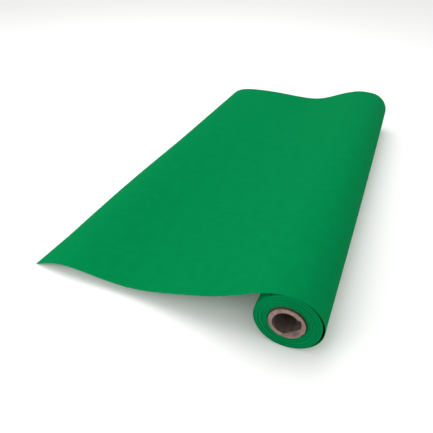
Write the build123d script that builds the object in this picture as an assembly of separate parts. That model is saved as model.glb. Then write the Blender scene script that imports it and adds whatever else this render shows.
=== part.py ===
from build123d import *
from math import asin, cos, degrees, pi, radians, sin, tan
import os

# Roll of backdrop paper on a spiral-wound board core. It lies on a table, partly unrolled.
# The axis of the roll is Y and the origin is on it, half way along the core. The loose
# sheet leaves the top of the roll and runs towards -X. All sizes are in millimetres, and
# angles round the roll are in degrees from +X, positive upwards.

# ---- paper ----
PAPER_WIDTH = 1100.0      # along the roll, without the core's ends
PAPER_THICKNESS = 0.25
WOUND_DIAMETER = 127.0    # over the tight turns

# ---- core ----
CORE_BORE = 50.8
PLY_THICKNESS = 1.0
PLY_COUNT = 10
CORE_PROUD = 4.0          # the core stands out of the paper by this at each end
STRIP_WIDTH = 100.0       # of the board strip that each ply is wound from
SEAM_GAP = 0.8            # butt joint between two turns of one strip
SEAM_STAGGER = 137.0      # from one ply's seam round to the next one's

# ---- starter tape, between the core and the first turn of paper ----
TAPE_THICKNESS = 0.2
TAPE_LENGTH = 50.0        # round the core
TAPE_WIDTH = 38.0         # along the core
TAPE_INSET = 90.0         # from the paper's edge to the middle of an end piece

# ---- tight turns ----
# They lie in bands that slid sideways as the roll was wound, so each end is stepped.
BAND_SHIFTS = (0.4, -0.6, 0.9, -0.2, 0.7, -0.9, 0.3, 1.0, -0.5, 0.6, -0.3)

# ---- loose outer turn ----
TURN_CLEARANCE = 0.7      # between the tight turns and the loose one, where it hugs them
WRAP_START = -236.0       # where the loose turn begins
WRAP_STEP = 18.0          # between the points that shape it
BULGE_START = -72.0       # it stands off the tight turns from here
BULGE_PEAK = 2.0          # farthest here
BULGE_END = 88.0          # and back to the tight turns here

# ---- free sheet ----
# Three side views, at the -Y end, half way and at the +Y end: the largest stand-off of
# the loose turn, the angle at which the sheet leaves the roll, and the sheet's underside
# from there to the cut edge, as (distance in X from the wound roll's side, height above
# the table). The underside is equally long in all three, because the sheet is cut square.
# The heights are for a roll as high as DRAWN_HEIGHT, and go up and down with the roll's.
DRAWN_HEIGHT = 128.9
SIDE_VIEWS = (
    (4.8, 97.0, (
        (12.5, 117.5), (-27.5, 97.0), (-86.5, 70.0), (-149.5, 49.5), (-217.5, 30.0),
        (-288.5, 20.0), (-356.5, 22.5), (-414.5, 25.5), (-466.5, 18.8), (-513.5, 0.0),
    )),
    (5.5, 95.0, (
        (20.5, 122.5), (-21.5, 106.0), (-86.5, 79.5), (-149.5, 60.0), (-217.5, 49.0),
        (-288.5, 46.0), (-356.5, 49.5), (-411.5, 52.0), (-451.5, 46.0), (-478.0, 29.0),
        (-491.0, 10.0), (-487.0, 0.3),
    )),
    (3.7, 92.0, (
        (29.5, 128.0), (-4.5, 119.5), (-38.5, 106.5), (-72.5, 91.5), (-114.5, 78.5),
        (-171.5, 75.0), (-236.5, 77.0), (-303.5, 78.5), (-366.5, 76.5), (-413.5, 69.5),
        (-447.0, 51.5), (-459.5, 27.0), (-449.0, 8.5), (-425.0, 0.7),
    )),
)
SECTION_POINTS = 80       # that shape the upper side of each side view

# ---- worked out from the sizes above ----
core_outer = CORE_BORE / 2 + PLY_COUNT * PLY_THICKNESS
core_length = PAPER_WIDTH + 2 * CORE_PROUD
wound_radius = WOUND_DIAMETER / 2
wrap_radius = wound_radius + TURN_CLEARANCE
table_z = -(wrap_radius + PAPER_THICKNESS)
height_scale = -2 * table_z / DRAWN_HEIGHT


def along_y(shape):
    """Turns a shape that was made along Z so that it lies along Y."""
    return Rot(-90, 0, 0) * shape


# ---- core ----
def seam_cutter(inner, outer):
    """The helical gap between the turns of one ply's strip, from end to end."""
    middle = (inner + outer) / 2
    lead = asin(STRIP_WIDTH / (2 * pi * middle))
    pitch = 2 * pi * middle * tan(lead)
    gap = Pos(middle, 0) * Rectangle(2 * (outer - inner), SEAM_GAP / sin(lead))
    return Solid.extrude_linear_with_rotation(
        gap.face(), center=(0, 0, 0), normal=(0, 0, core_length),
        angle=360 * core_length / pitch,
    )


def core_ply(number):
    """One ply of the core, counted outwards from the bore."""
    inner = CORE_BORE / 2 + (number - 1) * PLY_THICKNESS
    outer = inner + PLY_THICKNESS
    ply = Cylinder(outer, core_length) - Cylinder(inner, core_length)
    if number in (1, PLY_COUNT):
        turned = Rot(0, 0, number * SEAM_STAGGER) * seam_cutter(inner, outer)
        ply -= Pos(0, 0, -core_length / 2) * turned
    return along_y(ply)


# ---- starter tape ----
def tape_piece(place):
    section = Plane.XZ * Pos(core_outer + TAPE_THICKNESS / 2, place)
    section *= Rectangle(TAPE_THICKNESS, TAPE_WIDTH)
    return along_y(revolve(section, Axis.Z, degrees(TAPE_LENGTH / core_outer)))


# ---- tight turns ----
def wound_paper(tapes):
    """The wound turns as one body with stepped ends, and pockets for the tape."""
    band = (wound_radius - core_outer) / len(BAND_SHIFTS)
    low_end, high_end = [], []
    for number, shift in enumerate(BAND_SHIFTS):
        for radius in (core_outer + number * band, core_outer + (number + 1) * band):
            low_end.append((radius, shift - PAPER_WIDTH / 2))
            high_end.append((radius, shift + PAPER_WIDTH / 2))
    outline = Plane.XZ * make_face(Polyline(*low_end, *reversed(high_end), close=True))
    return along_y(revolve(outline, Axis.Z)) - tapes


# ---- loose outer turn and free sheet ----
def wrap_point(angle, bulge):
    """Point of the loose turn's inner side, in a side view."""
    if angle < BULGE_PEAK:
        share = (angle - BULGE_START) / (BULGE_PEAK - BULGE_START)
    else:
        share = (BULGE_END - angle) / (BULGE_END - BULGE_PEAK)
    stand_off = bulge * sin(pi / 2 * share) ** 2 if share > 0 else 0
    radius = wrap_radius + stand_off
    return (radius * cos(radians(angle)), radius * sin(radians(angle)))


def sheet_section(bulge, take_off, outline, y):
    """Side view of the sheet, as a face across its thickness."""
    steps = round((take_off - WRAP_START) / WRAP_STEP)
    angles = [WRAP_START + (take_off - WRAP_START) * n / steps for n in range(steps + 1)]
    points = [wrap_point(angle, bulge) for angle in angles]
    points += [(x - wound_radius, table_z + height * height_scale) for x, height in outline]
    outline_curve = Spline(*points)
    shares = [n / SECTION_POINTS for n in range(SECTION_POINTS + 1)]
    under_points, upper_points = [], []
    for share in shares:
        place, along = outline_curve @ share, outline_curve % share
        under_points.append(place)
        upper_points.append(place + Vector(along.Y, -along.X) * PAPER_THICKNESS)
    under = Edge.make_spline(under_points, parameters=shares)
    upper = Edge.make_spline(upper_points, parameters=shares)
    ends = [Line(under @ 0, upper @ 0), Line(under @ 1, upper @ 1)]
    side_view = Plane((0, y, 0), x_dir=(1, 0, 0), z_dir=(0, -1, 0))
    return side_view * make_face([under, upper, *ends]), under.length


def loose_sheet():
    """The outermost turn and the free sheet, which are one piece of paper."""
    sections = []
    for number, (bulge, take_off, outline) in enumerate(SIDE_VIEWS):
        y = PAPER_WIDTH * (number / (len(SIDE_VIEWS) - 1) - 0.5)
        section, length = sheet_section(bulge, take_off, outline, y)
        print(f"sheet is {length:.1f} long at Y = {y:.0f}")
        sections.append(section)
    return loft(sections)


def main():
    os.makedirs("parts", exist_ok=True)
    end_place = PAPER_WIDTH / 2 - TAPE_INSET
    tapes = Compound([tape_piece(place) for place in (-end_place, 0, end_place)])
    nodes = {
        "loose_sheet": loose_sheet(),
        "wound_paper": wound_paper(tapes),
        "starter_tape": tapes,
    }
    for number in range(1, PLY_COUNT + 1):
        nodes[f"core_ply_{number:02d}"] = core_ply(number)
    for name, shape in nodes.items():
        export_step(shape, f"parts/{name}.step")


if __name__ == "__main__":
    main()
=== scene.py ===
from math import asin, atan2, ceil, cos, degrees, floor, hypot, pi, radians, sin, tan

import bpy
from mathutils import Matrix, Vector, noise


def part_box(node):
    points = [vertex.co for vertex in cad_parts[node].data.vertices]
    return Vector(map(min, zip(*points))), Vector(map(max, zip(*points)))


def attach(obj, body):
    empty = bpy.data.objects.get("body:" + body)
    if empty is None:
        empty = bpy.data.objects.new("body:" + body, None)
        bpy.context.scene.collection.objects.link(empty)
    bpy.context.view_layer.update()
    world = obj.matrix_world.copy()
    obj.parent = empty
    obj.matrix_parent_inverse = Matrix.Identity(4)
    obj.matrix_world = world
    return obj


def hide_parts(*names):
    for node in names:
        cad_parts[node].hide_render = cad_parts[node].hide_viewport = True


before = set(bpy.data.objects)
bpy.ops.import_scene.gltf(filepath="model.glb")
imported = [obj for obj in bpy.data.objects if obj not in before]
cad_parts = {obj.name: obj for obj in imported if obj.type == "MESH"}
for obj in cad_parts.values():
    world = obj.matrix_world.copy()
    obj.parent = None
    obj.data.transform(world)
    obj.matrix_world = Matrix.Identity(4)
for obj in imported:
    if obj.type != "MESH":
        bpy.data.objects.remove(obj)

bl_info = {
    "name": "Backdrop Paper Roll",
    "version": (1, 0, 0),
    "blender": (4, 5, 0),
    "location": "View3D > Sidebar > Paper Roll",
    "description": "Builds a partly unrolled roll of backdrop paper on a spiral-wound board core",
    "category": "Object",
}

# The axis of the roll is Y, with the origin half way along it. The free sheet leaves the top
# of the roll and runs towards -X. Lengths are in metres where nothing else is said, and angles
# round the roll are in degrees from +X, positive upwards.

MM = 0.001

# ---- sizes that the frame gives ----
SHEET_LOW, SHEET_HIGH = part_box("loose_sheet")
TABLE_HEIGHT = SHEET_LOW.z
PAPER_WIDTH = SHEET_HIGH.y - SHEET_LOW.y
WOUND_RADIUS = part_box("wound_paper")[1].x
PLY_NODES = [f"core_ply_{number:02d}" for number in range(1, 11)]
PLY_RADII = [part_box(node)[1].x for node in PLY_NODES]
CORE_RADIUS = PLY_RADII[-1]
CORE_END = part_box(PLY_NODES[-1])[1].y

# ---- the loose turn and the free sheet ----
WRAP_START = -236.0       # where the loose turn begins
WRAP_STEP = 18.0          # between the points that shape it
BULGE_START = -72.0       # it stands off the tight turns from here
BULGE_PEAK = 2.0          # farthest here
BULGE_END = 88.0          # and back to the tight turns here

# Three side views, at the -Y end, half way and at the +Y end: the largest stand-off of the
# loose turn, the angle at which the sheet leaves the roll, and the sheet's underside from
# there to the cut edge, in millimetres from the side of the roll and above the table.
SIDE_VIEWS = (
    (3.8, 97.0, (
        (12.5, 117.5), (-27.5, 97.0), (-86.5, 70.0), (-149.5, 49.5), (-217.5, 30.0),
        (-288.5, 20.0), (-356.5, 22.5), (-414.5, 25.5), (-466.5, 18.8), (-513.5, 0.0),
    )),
    (5.5, 95.0, (
        (20.5, 122.5), (-21.5, 106.0), (-86.5, 79.5), (-149.5, 60.0), (-217.5, 49.0),
        (-288.5, 46.0), (-356.5, 49.5), (-411.5, 52.0), (-451.5, 46.0), (-478.0, 29.0),
        (-491.0, 10.0), (-487.0, 0.3),
    )),
    (3.7, 92.0, (
        (29.5, 128.0), (-4.5, 119.5), (-38.5, 106.5), (-72.5, 91.5), (-114.5, 78.5),
        (-171.5, 75.0), (-236.5, 77.0), (-303.5, 78.5), (-366.5, 76.5), (-413.5, 69.5),
        (-447.0, 51.5), (-459.5, 27.0), (-449.0, 8.5), (-425.0, 0.7),
    )),
)
CURVE_PARTS = 12          # straight parts between two points of a side view
SHEET_ROWS = 220          # of faces, from the loose turn's start to the cut edge
SHEET_COLUMNS = 48        # of faces, across the width
WAVE_LENGTH = 130 * MM    # of the soft waves, along the sheet
WAVE_WIDTH = 210 * MM     # and across it
WAVE_SEED = 3.7           # where in the noise they are taken from

# ---- the tight turns ----
# They lie in bands that slid sideways as the roll was wound, by these millimetres.
BAND_SHIFTS = (0.4, -0.6, 0.9, -0.2, 0.7, -0.9, 0.3, 1.0, -0.5, 0.6, -0.3)
BAND_BLEND = 0.2          # share of a band over which it runs into the next one
TURN_FACETS = 96          # straight parts of one turn
TURN_SLIP_STEP = 0.9      # of the noise that slips them, from one turn to the next
TURN_SEED = (0.5, 7.1)    # where in the noise it is taken from
WINDING_GAP = 0.1 * MM    # under the first tight turn and over the last one
START_RAMP = 0.3 * MM     # depth over which the first turns come back into line

# ---- the core ----
PLY_HAIRLINE = 0.03 * MM  # between two plies
SAW_ROUGHNESS = 0.12 * MM  # how far the saw moved the vertices of the ends
WORN_DEPTH = 9 * MM       # the wear at the mouth bends the plies no deeper than this
FLAT_END = 0.01 * MM      # a vertex this near the cut is on it
MOUTH_ZONE = 1 * MM       # and one this near it is on the mouth's edge
FAR_END_SEED = 20         # added to a ply's number, so that its two ends differ

SMOOTH_ANGLE = radians(35)  # faces that meet at more than this have a sharp edge

# ---- the camera and the light, in metres, with the camera's turn in degrees ----
CAMERA_PLACE = (0.0803, -1.1004, 0.6103)
CAMERA_TURN = (54.766, -0.986, 22.496)
OVERHEAD_PLACE, OVERHEAD_SIZE = (-0.8, 0.4, 2.1), 2.2
FRONT_PLACE, FRONT_SIZE = (-1.3, -2.0, 0.55), 1.6
LIGHT_AIM = (-0.15, 0, 0)
TABLE_SIZE = 14
TABLE_GAP = 0.05 * MM     # under the paper, so that the two surfaces don't coincide


def linear_colour(code, alpha=False):
    """The linear colour of an sRGB hex code."""
    values = [int(code[n:n + 2], 16) / 255 for n in (1, 3, 5)]
    linear = [v / 12.92 if v <= 0.04045 else ((v + 0.055) / 1.055) ** 2.4 for v in values]
    return (*linear, 1.0) if alpha else tuple(linear)


def clamped(value):
    return max(0.0, min(1.0, value))


# ---- settings ----
class PaperSettings(bpy.types.PropertyGroup):
    colour: bpy.props.FloatVectorProperty(
        name="Paper colour", description="Colour that the pulp was dyed",
        subtype="COLOR", size=3, min=0, max=1, default=linear_colour("#007842"))
    edge_colour: bpy.props.FloatVectorProperty(
        name="Cut edge colour", description="Colour of the cut edge, where the fibres stand open",
        subtype="COLOR", size=3, min=0, max=1, default=linear_colour("#007B46"))
    thickness: bpy.props.FloatProperty(
        name="Paper thickness", description="Thickness of one layer of the paper",
        default=0.25 * MM, min=0.1 * MM, max=0.5 * MM, precision=5, unit="LENGTH")
    turn_pitch: bpy.props.FloatProperty(
        name="Turn pitch", description="From one tight turn to the next, air included",
        default=0.3 * MM, min=0.26 * MM, max=0.6 * MM, precision=5, unit="LENGTH")
    turn_clearance: bpy.props.FloatProperty(
        name="Turn clearance", description="Between the tight turns and the loose one that hugs them",
        default=0.7 * MM, min=0.3 * MM, max=3 * MM, precision=5, unit="LENGTH")
    ripple: bpy.props.FloatProperty(
        name="Ripple", description="Height of the soft waves in the free sheet",
        default=0.5 * MM, min=0, max=2 * MM, precision=5, unit="LENGTH")
    turn_slip: bpy.props.FloatProperty(
        name="Turn slip", description="How far single turns stand in or out at the roll's ends",
        default=0.12 * MM, min=0, max=0.5 * MM, precision=5, unit="LENGTH")
    start_band: bpy.props.FloatProperty(
        name="Start band", description="Depth of the first turns that were started to one side",
        default=1.5 * MM, min=0, max=5 * MM, precision=5, unit="LENGTH")
    start_slip: bpy.props.FloatProperty(
        name="Start slip", description="How far to one side the first turns were started",
        default=2.2 * MM, min=0, max=4 * MM, precision=5, unit="LENGTH")


class CoreSettings(bpy.types.PropertyGroup):
    board_colour: bpy.props.FloatVectorProperty(
        name="Board colour", description="Colour of the grey board in the middle of the wall",
        subtype="COLOR", size=3, min=0, max=1, default=linear_colour("#6F6659"))
    liner_colour: bpy.props.FloatVectorProperty(
        name="Liner colour", description="Colour of the dark ply round the bore",
        subtype="COLOR", size=3, min=0, max=1, default=linear_colour("#574A45"))
    # The outer ply is kraft, but its colour is made darker than kraft as painted shade. The rim of it
    # that stands out past the paper then reads as a shadow gap between the core and the paper.
    cover_colour_with_painted_shade: bpy.props.FloatVectorProperty(
        name="Cover colour", description="Colour of the dark kraft ply on the outside",
        subtype="COLOR", size=3, min=0, max=1, default=linear_colour("#4A4038"))
    strip_width: bpy.props.FloatProperty(
        name="Strip width", description="Width of the board strip that a ply is wound from",
        default=100 * MM, min=40 * MM, max=150 * MM, unit="LENGTH")
    seam_gap: bpy.props.FloatProperty(
        name="Seam gap", description="Butt joint between two turns of one strip",
        default=0.8 * MM, min=0.2 * MM, max=3 * MM, precision=5, unit="LENGTH")
    seam_stagger: bpy.props.FloatProperty(
        name="Seam stagger", description="From one ply's seam round to the next one's",
        default=radians(137), subtype="ANGLE")
    tear_depth: bpy.props.FloatProperty(
        name="Tear depth", description="How far the torn plies at the mouth are broken back",
        default=6 * MM, min=0, max=8 * MM, unit="LENGTH")


class StageSettings(bpy.types.PropertyGroup):
    floor_colour: bpy.props.FloatVectorProperty(
        name="Floor colour", description="Colour of the table",
        subtype="COLOR", size=3, min=0, max=1, default=linear_colour("#F6F6F5"))
    surround: bpy.props.FloatProperty(
        name="Surround", description="Strength of the even light from all round",
        default=0.86, min=0, max=3)
    overhead: bpy.props.FloatProperty(
        name="Overhead softbox", description="Power of the large softbox above the roll",
        default=27, min=0, max=1000, unit="POWER")
    front: bpy.props.FloatProperty(
        name="Front softbox", description="Power of the low softbox in front of the roll's end",
        default=24, min=0, max=1000, unit="POWER")
    lens: bpy.props.FloatProperty(
        name="Lens", description="Focal length on a sensor 36 mm wide, in millimetres",
        default=37.0, min=10, max=200, unit="CAMERA")


# ---- materials ----
def add_node(material, kind, settings=None, links=None):
    """Adds one shader node. A key is the name of a socket or a property, or a socket's place."""
    tree = material.node_tree
    node = tree.nodes.new("ShaderNode" + kind)
    for key, value in (settings or {}).items():
        if isinstance(key, int) or key in node.inputs:
            node.inputs[key].default_value = value
        else:
            setattr(node, key, value)
    for key, socket in (links or {}).items():
        tree.links.new(socket, node.inputs[key])
    return node


def new_material(name):
    material = bpy.data.materials.new(name)
    material.use_nodes = True
    material.node_tree.nodes.clear()
    return material


def shaded(colour, factor):
    return tuple(min(1.0, value * factor) for value in colour) + (1.0,)


def dyed_paper(name, colour):
    """Uncoated wood-free paper, dyed in the pulp and machine finished: quite matt, even in
    colour, with the faint cloudiness of the fibre mat when it is looked at closely."""
    material = new_material(name)
    place = add_node(material, "TexCoord").outputs["UV"]
    # The fibres clump into clouds of about 25 mm.
    clouds = add_node(material, "TexNoise", {"Scale": 1000 / 25, "Detail": 3, "Roughness": 0.55},
                      {"Vector": place})
    # Fibres are 0.1 mm; they are drawn 2.5 mm long and 0.8 mm wide so that they show.
    along = add_node(material, "Mapping", {"Scale": (1000 / 2.5, 1000 / 0.8, 1)}, {"Vector": place})
    fibres = add_node(material, "TexNoise", {"Scale": 1, "Detail": 2, "Roughness": 0.6},
                      {"Vector": along.outputs["Vector"]})
    cloudy = add_node(material, "ValToRGB", links={"Fac": clouds.outputs["Fac"]})
    cloudy.color_ramp.elements[0].position = 0.3
    cloudy.color_ramp.elements[0].color = shaded(colour, 0.95)
    cloudy.color_ramp.elements[1].position = 0.7
    cloudy.color_ramp.elements[1].color = shaded(colour, 1.04)
    flecks = add_node(material, "MapRange",
                      {"From Min": 0.35, "From Max": 0.75, "To Min": 0.97, "To Max": 1.04},
                      {"Value": fibres.outputs["Fac"]})
    tone = add_node(material, "Mix", {"data_type": "RGBA", "blend_type": "MULTIPLY", 0: 1.0},
                    {6: cloudy.outputs["Color"], 7: flecks.outputs["Result"]})
    tooth = add_node(material, "Bump", {"Strength": 0.12, "Distance": 0.15 * MM},
                     {"Height": fibres.outputs["Fac"]})
    rough = add_node(material, "MapRange", {"To Min": 0.86, "To Max": 0.96},
                     {"Value": clouds.outputs["Fac"]})
    paper = add_node(material, "BsdfPrincipled", {"IOR": 1.5, "Specular IOR Level": 0.015},
                     {"Base Color": tone.outputs[2], "Roughness": rough.outputs["Result"],
                      "Normal": tooth.outputs["Normal"]})
    add_node(material, "OutputMaterial", links={"Surface": paper.outputs["BSDF"]})
    return material


def slit_paper_edge(name, colour):
    """The slit edge of the same paper. The knife leaves open fibre ends, so it is matt, and
    each stretch of the web took the knife a little differently, so the turns differ in tone."""
    material = new_material(name)
    coordinates = add_node(material, "TexCoord").outputs
    length = add_node(material, "SeparateXYZ", links={"Vector": coordinates["UV"]}).outputs["X"]
    # A turn is about 0.3 m long, and tones run on for 1.1 m, or three or four turns.
    stretches = add_node(material, "TexNoise",
                         {"noise_dimensions": "1D", "Scale": 1 / 1.1, "Detail": 4, "Roughness": 0.7},
                         {"W": length})
    tone = add_node(material, "ValToRGB", links={"Fac": stretches.outputs["Fac"]})
    tone.color_ramp.elements[0].position = 0.3
    tone.color_ramp.elements[0].color = shaded(colour, 0.84)
    tone.color_ramp.elements[1].position = 0.7
    tone.color_ramp.elements[1].color = shaded(colour, 1.12)
    # Fibre ends are 0.05 mm; they are drawn 1 mm across so that they show.
    fuzz = add_node(material, "TexNoise", {"Scale": 1000 / 1, "Detail": 2},
                    {"Vector": coordinates["Object"]})
    nap = add_node(material, "Bump", {"Strength": 0.3, "Distance": 0.1 * MM},
                   {"Height": fuzz.outputs["Fac"]})
    edge = add_node(material, "BsdfPrincipled",
                    {"IOR": 1.5, "Specular IOR Level": 0.03, "Roughness": 0.95},
                    {"Base Color": tone.outputs["Color"], "Normal": nap.outputs["Normal"]})
    add_node(material, "OutputMaterial", links={"Surface": edge.outputs["BSDF"]})
    return material


def wound_board(name, colour, warm, contrast):
    """Board from recycled fibre, pressed and glued into a tube: dull, mottled, and clouded
    with the warmer fibres of what it was made from."""
    material = new_material(name)
    coordinates = add_node(material, "TexCoord").outputs
    # The pattern is slid so that the near end gets the warm, lighter clouds above and below its bore, and
    # the darker grey at its sides. This is painted light on the top and bottom of the ring and painted
    # shade on its sides.
    painted_light_slide = add_node(material, "Mapping", {"Location": (0.7, 0.5, 0.9)}, {"Vector": coordinates["Object"]})
    place = painted_light_slide.outputs["Vector"]
    # The stock is mottled over 18 mm or so, and finer inside that.
    mottle = add_node(material, "TexNoise", {"Scale": 1000 / 18, "Detail": 4, "Roughness": 0.6},
                      {"Vector": place})
    tone = add_node(material, "ValToRGB", links={"Fac": mottle.outputs["Fac"]})
    tone.color_ramp.elements[0].position = 0.32
    tone.color_ramp.elements[0].color = shaded(colour, 1 - contrast)
    tone.color_ramp.elements[1].position = 0.68
    tone.color_ramp.elements[1].color = shaded(colour, 1 + contrast)
    # Coloured fibres are under 1 mm; they are drawn in clouds of 11 mm so that they show.
    flecks = add_node(material, "TexNoise", {"Scale": 1000 / 11, "Detail": 4, "Roughness": 0.7},
                      {"Vector": place})
    share = add_node(material, "MapRange", {"From Min": 0.45, "From Max": 0.68, "To Max": 0.7},
                     {"Value": flecks.outputs["Fac"]})
    mixed = add_node(material, "Mix", {"data_type": "RGBA", 7: linear_colour(warm, True)},
                     {0: share.outputs["Result"], 6: tone.outputs["Color"]})
    # The cut and rubbed fibres stand up as a nap; it is drawn 1.2 mm across so that it shows.
    fuzz = add_node(material, "TexNoise", {"Scale": 1000 / 1.2, "Detail": 3}, {"Vector": place})
    nap = add_node(material, "Bump", {"Strength": 0.45, "Distance": 0.3 * MM},
                   {"Height": fuzz.outputs["Fac"]})
    board = add_node(material, "BsdfPrincipled",
                     {"IOR": 1.5, "Specular IOR Level": 0.25, "Roughness": 0.88},
                     {"Base Color": mixed.outputs[2], "Normal": nap.outputs["Normal"]})
    add_node(material, "OutputMaterial", links={"Surface": board.outputs["BSDF"]})
    return material


def crepe_masking_tape(name):
    """Crêped paper tape: cream, a little shiny on the ridges that run across it."""
    material = new_material(name)
    place = add_node(material, "TexCoord").outputs["Object"]
    # Crêpe ridges are 0.4 mm apart; they run along the core and are drawn 1.5 mm apart.
    across = add_node(material, "Mapping", {"Scale": (1000 / 1.5, 1000 / 12, 1000 / 1.5)},
                      {"Vector": place})
    ridges = add_node(material, "TexNoise", {"Scale": 1, "Detail": 3},
                      {"Vector": across.outputs["Vector"]})
    tone = add_node(material, "ValToRGB", links={"Fac": ridges.outputs["Fac"]})
    tone.color_ramp.elements[0].position = 0.3
    tone.color_ramp.elements[0].color = linear_colour("#CDBB8E", True)
    tone.color_ramp.elements[1].position = 0.7
    tone.color_ramp.elements[1].color = linear_colour("#E2D3AA", True)
    crepe = add_node(material, "Bump", {"Strength": 0.6, "Distance": 0.1 * MM},
                     {"Height": ridges.outputs["Fac"]})
    tape = add_node(material, "BsdfPrincipled", {"IOR": 1.5, "Roughness": 0.6},
                    {"Base Color": tone.outputs["Color"], "Normal": crepe.outputs["Normal"]})
    add_node(material, "OutputMaterial", links={"Surface": tape.outputs["BSDF"]})
    return material


def matt_white_paint(name, colour):
    """Matt white paint, rolled on board: even, with a very fine orange peel."""
    material = new_material(name)
    place = add_node(material, "TexCoord").outputs["Object"]
    # The peel of a roller is about 4 mm across.
    peel = add_node(material, "TexNoise", {"Scale": 1000 / 4, "Detail": 2}, {"Vector": place})
    rough = add_node(material, "MapRange", {"To Min": 0.8, "To Max": 0.95},
                     {"Value": peel.outputs["Fac"]})
    paint = add_node(material, "BsdfPrincipled",
                     {"IOR": 1.5, "Specular IOR Level": 0.1, "Base Color": (*colour, 1)},
                     {"Roughness": rough.outputs["Result"]})
    add_node(material, "OutputMaterial", links={"Surface": paint.outputs["BSDF"]})
    return material


# ---- shaping by hand ----
def deselect_all():
    bpy.ops.object.select_all(action="DESELECT")


def make_active(piece):
    deselect_all()
    piece.select_set(True)
    bpy.context.view_layer.objects.active = piece


def select_vertices(piece, wanted):
    """In edit mode, selects the vertices for which wanted(place) is true, and no others."""
    bpy.ops.mesh.select_mode(type="VERT")
    bpy.ops.mesh.select_all(action="DESELECT")
    bpy.ops.object.mode_set(mode="OBJECT")
    for vertex in piece.data.vertices:
        vertex.select = wanted(vertex.co)
    bpy.ops.object.mode_set(mode="EDIT")


def give_wall(piece, name, thickness, offset, rim=0):
    """Gives a surface its thickness, and its rim the material that is rim places further on."""
    make_active(piece)
    bpy.ops.object.shade_smooth()
    wall = piece.modifiers.new(name, "SOLIDIFY")
    wall.thickness = thickness
    wall.offset = offset
    wall.material_offset_rim = rim
    bpy.ops.object.modifier_apply(modifier=wall.name)
    bpy.ops.object.shade_smooth_by_angle(angle=SMOOTH_ANGLE)


# ---- sheets ----
def run_of(points):
    """How far along a line each of its points is."""
    run = [0.0]
    for a, b in zip(points, points[1:]):
        run.append(run[-1] + hypot(b[0] - a[0], b[1] - a[1]))
    return run


def curve_bends(values, run):
    """Second derivatives, at its points, of the natural cubic curve through the values."""
    last = len(values) - 1
    upper, right = [0.0] * last, [0.0] * last
    for n in range(1, last):
        before, after = run[n] - run[n - 1], run[n + 1] - run[n]
        slope = 6 * ((values[n + 1] - values[n]) / after - (values[n] - values[n - 1]) / before)
        pivot = 2 * (before + after) - before * upper[n - 1]
        upper[n] = after / pivot
        right[n] = (slope - before * right[n - 1]) / pivot
    bends = [0.0] * (last + 1)
    for n in range(last - 1, 0, -1):
        bends[n] = right[n] - upper[n] * bends[n + 1]
    return bends


def smooth_line(points):
    """Points all along a natural cubic curve through the given points, spaced by chord."""
    run = run_of(points)
    sides = [[point[side] for point in points] for side in (0, 1)]
    bends = [curve_bends(values, run) for values in sides]
    line = []
    for n in range(len(points) - 1):
        span = (run[n + 1] - run[n]) ** 2 / 6
        for part in range(CURVE_PARTS):
            b = part / CURVE_PARTS
            a = 1 - b
            line.append(tuple(
                a * values[n] + b * values[n + 1]
                + ((a ** 3 - a) * bend[n] + (b ** 3 - b) * bend[n + 1]) * span
                for values, bend in zip(sides, bends)))
    return line + [points[-1]]


def even_points(line, count):
    """count + 1 points along a line, equal lengths apart, and its length."""
    run = run_of(line)
    places, n = [], 0
    for number in range(count + 1):
        wanted = run[-1] * number / count
        while n < len(line) - 2 and run[n + 1] < wanted:
            n += 1
        share = (wanted - run[n]) / (run[n + 1] - run[n])
        places.append(tuple(a + share * (b - a) for a, b in zip(line[n], line[n + 1])))
    return places, run[-1]


def side_view_line(bulge, take_off, underside, clearance):
    """The underside of the paper in one side view, from the loose turn's start to the cut edge."""
    steps = round((take_off - WRAP_START) / WRAP_STEP)
    points = []
    for n in range(steps + 1):
        angle = WRAP_START + (take_off - WRAP_START) * n / steps
        if angle < BULGE_PEAK:
            share = (angle - BULGE_START) / (BULGE_PEAK - BULGE_START)
        else:
            share = (BULGE_END - angle) / (BULGE_END - BULGE_PEAK)
        stand_off = bulge * MM * sin(pi / 2 * share) ** 2 if share > 0 else 0
        radius = WOUND_RADIUS + clearance + stand_off
        points.append((radius * cos(radians(angle)), radius * sin(radians(angle))))
    points += [(x * MM - WOUND_RADIUS, TABLE_HEIGHT + height * MM) for x, height in underside]
    return smooth_line(points)


def sheet_mesh(name, rows, length, materials):
    """A mesh from rows of points across a sheet, with a flat UV map in metres."""
    mesh = bpy.data.meshes.new(name)
    down, across = len(rows), len(rows[0])
    faces = [(r * across + c, (r + 1) * across + c, (r + 1) * across + c + 1, r * across + c + 1)
             for r in range(down - 1) for c in range(across - 1)]
    mesh.from_pydata([point for row in rows for point in row], [], faces)
    flat = mesh.uv_layers.new(name="FlatPaper")
    for loop in mesh.loops:
        row, column = divmod(loop.vertex_index, across)
        flat.data[loop.index].uv = (length * row / (down - 1), PAPER_WIDTH * column / (across - 1))
    piece = bpy.data.objects.new(name, mesh)
    bpy.context.scene.collection.objects.link(piece)
    for material in materials:
        mesh.materials.append(material)
    return piece


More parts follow.
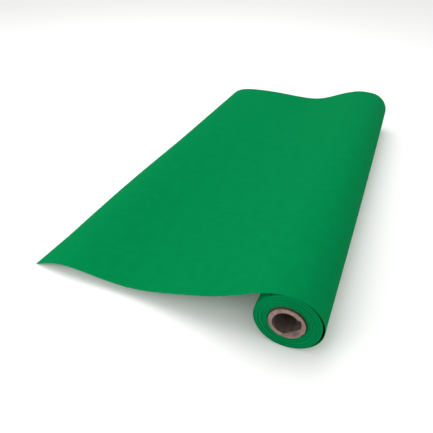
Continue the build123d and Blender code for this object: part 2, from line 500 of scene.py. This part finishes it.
class PAPERROLL_OT_sheet(bpy.types.Operator):
    """Lays the loose turn and the free sheet, which are one piece of paper"""
    bl_idname = "paperroll.sheet"
    bl_label = "Paper Sheet"

    def execute(self, context):
        paper = context.scene.paper_settings
        views, lengths = [], []
        for bulge, take_off, underside in SIDE_VIEWS:
            line = side_view_line(bulge, take_off, underside, paper.turn_clearance)
            points, length = even_points(line, SHEET_ROWS)
            views.append(points)
            lengths.append(length)
        middle_length = lengths[1]
        wrap_share = radians(SIDE_VIEWS[1][1] - WRAP_START) * WOUND_RADIUS / middle_length
        rows = []
        for r in range(SHEET_ROWS + 1):
            row = []
            for c in range(SHEET_COLUMNS + 1):
                v = c / SHEET_COLUMNS
                # One smooth bow across the width, through the three side views.
                bow = ((1 - v) * (1 - 2 * v), 4 * v * (1 - v), v * (2 * v - 1))
                x, z = (sum(part * view[r][side] for part, view in zip(bow, views)) for side in (0, 1))
                y = SHEET_LOW.y + v * PAPER_WIDTH
                # Soft waves, but none on the roll and none where the sheet meets the table.
                free = (r / SHEET_ROWS - wrap_share) / (1 - wrap_share)
                fade = clamped(free / 0.25) * clamped((1 - free) / 0.2)
                fade *= clamped((z - TABLE_HEIGHT) / (20 * MM))
                along = r / SHEET_ROWS * middle_length
                wave = noise.noise(Vector((along / WAVE_LENGTH, y / WAVE_WIDTH, WAVE_SEED)))
                z += fade * wave * paper.ripple
                # Where the edge curls under, its outer side just rests on the table.
                row.append((x, y, max(z, TABLE_HEIGHT + 1.04 * paper.thickness)))
            rows.append(row)
        piece = sheet_mesh(
            "paper_sheet", rows, middle_length,
            [dyed_paper("dyed_seamless_paper", paper.colour),
             slit_paper_edge("slit_paper_edge", paper.edge_colour)])
        give_wall(piece, "PaperThickness", paper.thickness, 1, rim=1)
        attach(piece, "sheet")
        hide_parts("loose_sheet")
        return {"FINISHED"}


def band_shift(depth):
    """Sideways shift of the tight turns at a depth, as a share of the wound wall."""
    place = depth * len(BAND_SHIFTS) - 0.5
    last = len(BAND_SHIFTS) - 1
    low = max(0, min(last, floor(place)))
    high = min(last, low + 1)
    share = clamped((place - low - 0.5) / BAND_BLEND + 0.5)
    return (BAND_SHIFTS[low] * (1 - share) + BAND_SHIFTS[high] * share) * MM


class PAPERROLL_OT_wound_paper(bpy.types.Operator):
    """Winds the tight turns, as one long strip on the core"""
    bl_idname = "paperroll.wound_paper"
    bl_label = "Wound Paper"

    def execute(self, context):
        paper = context.scene.paper_settings
        start, stop = CORE_RADIUS + WINDING_GAP, WOUND_RADIUS - paper.thickness - WINDING_GAP
        steps = round((stop - start) / paper.turn_pitch * TURN_FACETS)
        rows, length = [], 0.0
        for n in range(steps + 1):
            # The strip ends where the loose turn begins.
            angle = radians(WRAP_START) - 2 * pi * (steps - n) / TURN_FACETS
            radius = start + (stop - start) * n / steps
            length += 2 * pi * radius / TURN_FACETS
            # Each band has its own sideways shift, and each turn a little of its own.
            shift = band_shift((radius - start) / (stop - start))
            shift += noise.noise(Vector((n / TURN_FACETS * TURN_SLIP_STEP, *TURN_SEED))) * paper.turn_slip
            # The first few turns were started a little to one side.
            shift += clamped((start + paper.start_band - radius) / START_RAMP) * paper.start_slip
            x, z = radius * cos(angle), radius * sin(angle)
            rows.append([(x, shift - PAPER_WIDTH / 2, z), (x, shift + PAPER_WIDTH / 2, z)])
        piece = sheet_mesh(
            "wound_paper_turns", rows, length,
            [dyed_paper("dyed_wound_paper", paper.colour),
             slit_paper_edge("slit_wound_paper_edge", paper.edge_colour)])
        give_wall(piece, "PaperThickness", paper.thickness, 1, rim=1)
        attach(piece, "roll")
        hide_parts("wound_paper")
        return {"FINISHED"}


# ---- core ----
def ply_kind(number):
    return "liner" if number == 1 else "cover" if number == len(PLY_NODES) else "board"


def nearness(angle, middle, reach):
    """1 at the middle angle, falling evenly to 0 at reach degrees to either side of it."""
    return max(0.0, 1 - abs((angle - middle + 180) % 360 - 180) / reach)


def torn_back(number, angle, depth):
    """How far a ply is broken back at the -Y mouth, at an angle in degrees."""
    # A tear at the right of the bore, four plies deep, with a square upper end.
    if number <= 4 and 8 * number - 14 < angle < 42 - 2 * number:
        return depth * (1 - 0.12 * number)
    # The lower right lip is crushed, so the inner five plies step back one after the other.
    crushed = nearness(angle, -50, 46)
    if number <= 5 and crushed > 0:
        return depth * min(1, 2 * crushed) * (6 - number) / 5
    # A nick in the outer two plies, lower right.
    if number >= 9 and nearness(angle, -29, 3 * (number - 8)) > 0:
        return depth * 0.4
    return 0.0


def bent_in(number, angle):
    """How far a ply's edge is bent in towards the bore at the -Y mouth, or out if negative."""
    # The flap that the tear left stands in.
    if number <= 2 and 40 < angle < 62:
        return 1.6 * MM * (62 - angle) / 22
    # The lower right lip is pushed in, and its plies come apart there.
    crushed = nearness(angle, -48, 44)
    if crushed > 0:
        return 3 * MM * sin(pi / 2 * crushed) ** 2 * max(0.0, 1 - (number - 1) / 7)
    # The bar that the roll hung on has pressed the wall thinner, lower left.
    pressed = nearness(angle, -150, 62)
    return -2.2 * MM * sin(pi / 2 * pressed) ** 2 * (1 - number / len(PLY_NODES))


def wind_ply(number, radius, core):
    """A ply as a surface with no thickness: one strip wound round with its turns edge to edge."""
    lead = asin(core.strip_width / (2 * pi * radius))
    pitch = 2 * pi * radius * tan(lead)
    strip = pitch - core.seam_gap / cos(lead)
    phase = (core.seam_stagger * number / (2 * pi)) % 1
    first = -CORE_END - pitch * (1 + phase)
    # The winding starts from one edge of the strip, which lies along the core. It is the edge
    # of a unit plane at X = -0.5.
    deselect_all()
    bpy.ops.mesh.primitive_plane_add(size=1, location=(0, 0, 0))
    piece = bpy.context.active_object
    piece.name = piece.data.name = f"{ply_kind(number)}_ply_{number:02d}"
    bpy.ops.object.mode_set(mode="EDIT")
    select_vertices(piece, lambda place: place.x > 0)
    bpy.ops.mesh.delete(type="VERT")
    bpy.ops.mesh.select_all(action="SELECT")
    bpy.ops.transform.resize(value=(1, strip, 1), center_override=(0, 0, 0))
    bpy.ops.transform.translate(value=(radius + 0.5, first + strip / 2, 0))
    bpy.ops.object.mode_set(mode="OBJECT")
    winding = piece.modifiers.new("Winding", "SCREW")
    winding.axis = "Y"
    winding.angle = 2 * pi
    winding.screw_offset = pitch
    winding.iterations = ceil(2 * CORE_END / pitch) + 2
    winding.steps = winding.render_steps = TURN_FACETS
    bpy.ops.object.modifier_apply(modifier=winding.name)
    return piece


def cut_ends(piece, number):
    """Saws a wound ply off square at both ends, which leaves them a little rough."""
    bpy.ops.object.mode_set(mode="EDIT")
    for end in (-1, 1):
        bpy.ops.mesh.select_all(action="SELECT")
        bpy.ops.mesh.bisect(plane_co=(0, end * CORE_END, 0), plane_no=(0, end, 0), clear_outer=True)
    # An edge round the ply keeps the wear at the mouth from reaching further in.
    bpy.ops.mesh.select_all(action="SELECT")
    bpy.ops.mesh.bisect(plane_co=(0, WORN_DEPTH - CORE_END, 0), plane_no=(0, 1, 0))
    bpy.ops.mesh.select_all(action="SELECT")
    bpy.ops.mesh.remove_doubles(threshold=FLAT_END)
    bpy.ops.mesh.normals_make_consistent(inside=False)
    for end, seed in ((-1, number), (1, number + FAR_END_SEED)):
        select_vertices(piece, lambda place: abs(place.y - end * CORE_END) < FLAT_END)
        bpy.ops.transform.vertex_random(offset=SAW_ROUGHNESS, seed=seed)
    bpy.ops.object.mode_set(mode="OBJECT")


def wear_mouth(piece, number, radius, depth):
    """Tears and bends a ply's edge at the -Y mouth, and keeps both ends inside the core's length."""
    for vertex in piece.data.vertices:
        place = vertex.co
        if place.y < MOUTH_ZONE - CORE_END:
            angle = degrees(atan2(place.z, place.x))
            place.y = max(place.y, -CORE_END) + torn_back(number, angle, depth)
            squeeze = 1 - bent_in(number, angle) / radius
            place.x, place.z = place.x * squeeze, place.z * squeeze
        place.y = min(place.y, CORE_END)


class PAPERROLL_OT_core(bpy.types.Operator):
    """Winds the ten plies of the board core, each from one strip"""
    bl_idname = "paperroll.core"
    bl_label = "Board Core"

    def execute(self, context):
        core = context.scene.core_settings
        materials = {
            "liner": wound_board("kraft_liner_board", core.liner_colour, "#4A3A30", 0.25),
            "board": wound_board("recycled_core_board", core.board_colour, "#A67778", 0.3),
            # The cover ply's dark colour is partly kraft and partly painted shade, for the shadow gap
            # round the core.
            "cover": wound_board("kraft_cover_board_with_painted_shade", core.cover_colour_with_painted_shade, "#6A5448", 0.1),
        }
        # The bore is one ply inside the liner's outer side, and the plies are equally thick.
        bore = PLY_RADII[0] - (CORE_RADIUS - PLY_RADII[0]) / (len(PLY_NODES) - 1)
        walls = zip(PLY_NODES, [bore, *PLY_RADII], PLY_RADII)
        for number, (node, inner, outer) in enumerate(walls, start=1):
            radius = (inner + outer) / 2
            piece = wind_ply(number, radius, core)
            cut_ends(piece, number)
            wear_mouth(piece, number, radius, core.tear_depth)
            kind = ply_kind(number)
            piece.data.materials.append(materials[kind])
            give_wall(piece, "BoardThickness", outer - inner - PLY_HAIRLINE, 0)
            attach(piece, "roll")
            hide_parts(node)
        return {"FINISHED"}


class PAPERROLL_OT_starter_tape(bpy.types.Operator):
    """Finishes the tape that holds the first turn of paper to the core"""
    bl_idname = "paperroll.starter_tape"
    bl_label = "Starter Tape"

    def execute(self, context):
        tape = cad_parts["starter_tape"]
        finish = crepe_masking_tape("crepe_masking_tape")
        for slot in tape.material_slots:
            slot.material = finish
        return {"FINISHED"}


# ---- stage ----
class PAPERROLL_OT_stage(bpy.types.Operator):
    """Sets the table, the light and the camera"""
    bl_idname = "paperroll.stage"
    bl_label = "Stage"

    def execute(self, context):
        stage = context.scene.stage_settings
        deselect_all()
        bpy.ops.mesh.primitive_plane_add(size=TABLE_SIZE, location=(0, 0, 0))
        table = context.active_object
        table.name = table.data.name = "table"
        bpy.ops.object.mode_set(mode="EDIT")
        bpy.ops.mesh.select_all(action="SELECT")
        bpy.ops.transform.translate(value=(0, 0, TABLE_HEIGHT - TABLE_GAP))
        bpy.ops.object.mode_set(mode="OBJECT")
        table.data.materials.append(matt_white_paint("matt_white_paint", stage.floor_colour))

        surround = bpy.data.worlds.new("soft_surround")
        surround.use_nodes = True
        background = surround.node_tree.nodes["Background"]
        background.inputs["Color"].default_value = (1, 1, 1, 1)
        background.inputs["Strength"].default_value = stage.surround
        context.scene.world = surround

        for name, place, size, power in (
            ("overhead_softbox", OVERHEAD_PLACE, OVERHEAD_SIZE, stage.overhead),
            ("front_softbox", FRONT_PLACE, FRONT_SIZE, stage.front),
        ):
            bpy.ops.object.light_add(type="AREA", location=place)
            softbox = context.active_object
            softbox.name = softbox.data.name = name
            softbox.data.shape = "SQUARE"
            softbox.data.size = size
            softbox.data.energy = power
            aim = Vector(LIGHT_AIM) - Vector(place)
            softbox.rotation_euler = aim.to_track_quat("-Z", "Y").to_euler()

        turn = [radians(angle) for angle in CAMERA_TURN]
        bpy.ops.object.camera_add(location=CAMERA_PLACE, rotation=turn)
        camera = context.active_object
        camera.name = camera.data.name = "stage_camera"
        camera.data.sensor_width = 36
        camera.data.lens = stage.lens
        camera.data.clip_start = 0.01
        context.scene.camera = camera
        context.scene.view_settings.view_transform = "Standard"
        return {"FINISHED"}


class PAPERROLL_PT_panel(bpy.types.Panel):
    """Lists each group's settings and the operators that use them"""
    bl_label = "Paper Roll"
    bl_idname = "PAPERROLL_PT_panel"
    bl_space_type = "VIEW_3D"
    bl_region_type = "UI"
    bl_category = "Paper Roll"

    def draw(self, context):
        layout = self.layout
        for group, operators in (
            ("paper_settings", ("paperroll.sheet", "paperroll.wound_paper")),
            ("core_settings", ("paperroll.core", "paperroll.starter_tape")),
            ("stage_settings", ("paperroll.stage",)),
        ):
            settings = getattr(context.scene, group)
            column = layout.box().column()
            for name in settings.__annotations__:
                column.prop(settings, name)
            for operator in operators:
                column.operator(operator)


GROUPS = {
    "paper_settings": PaperSettings,
    "core_settings": CoreSettings,
    "stage_settings": StageSettings,
}
OPERATORS = (
    PAPERROLL_OT_stage, PAPERROLL_OT_core, PAPERROLL_OT_starter_tape,
    PAPERROLL_OT_wound_paper, PAPERROLL_OT_sheet,
)


def register():
    for group in (*GROUPS.values(), *OPERATORS, PAPERROLL_PT_panel):
        bpy.utils.register_class(group)
    for name, group in GROUPS.items():
        setattr(bpy.types.Scene, name, bpy.props.PointerProperty(type=group))


def unregister():
    for name in GROUPS:
        delattr(bpy.types.Scene, name)
    for group in (PAPERROLL_PT_panel, *reversed(OPERATORS), *reversed(GROUPS.values())):
        bpy.utils.unregister_class(group)


def main():
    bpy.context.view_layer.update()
    register()
    bpy.ops.paperroll.stage()
    bpy.ops.paperroll.core()
    bpy.ops.paperroll.starter_tape()
    bpy.ops.paperroll.wound_paper()
    bpy.ops.paperroll.sheet()


if __name__ == "__main__":
    main()
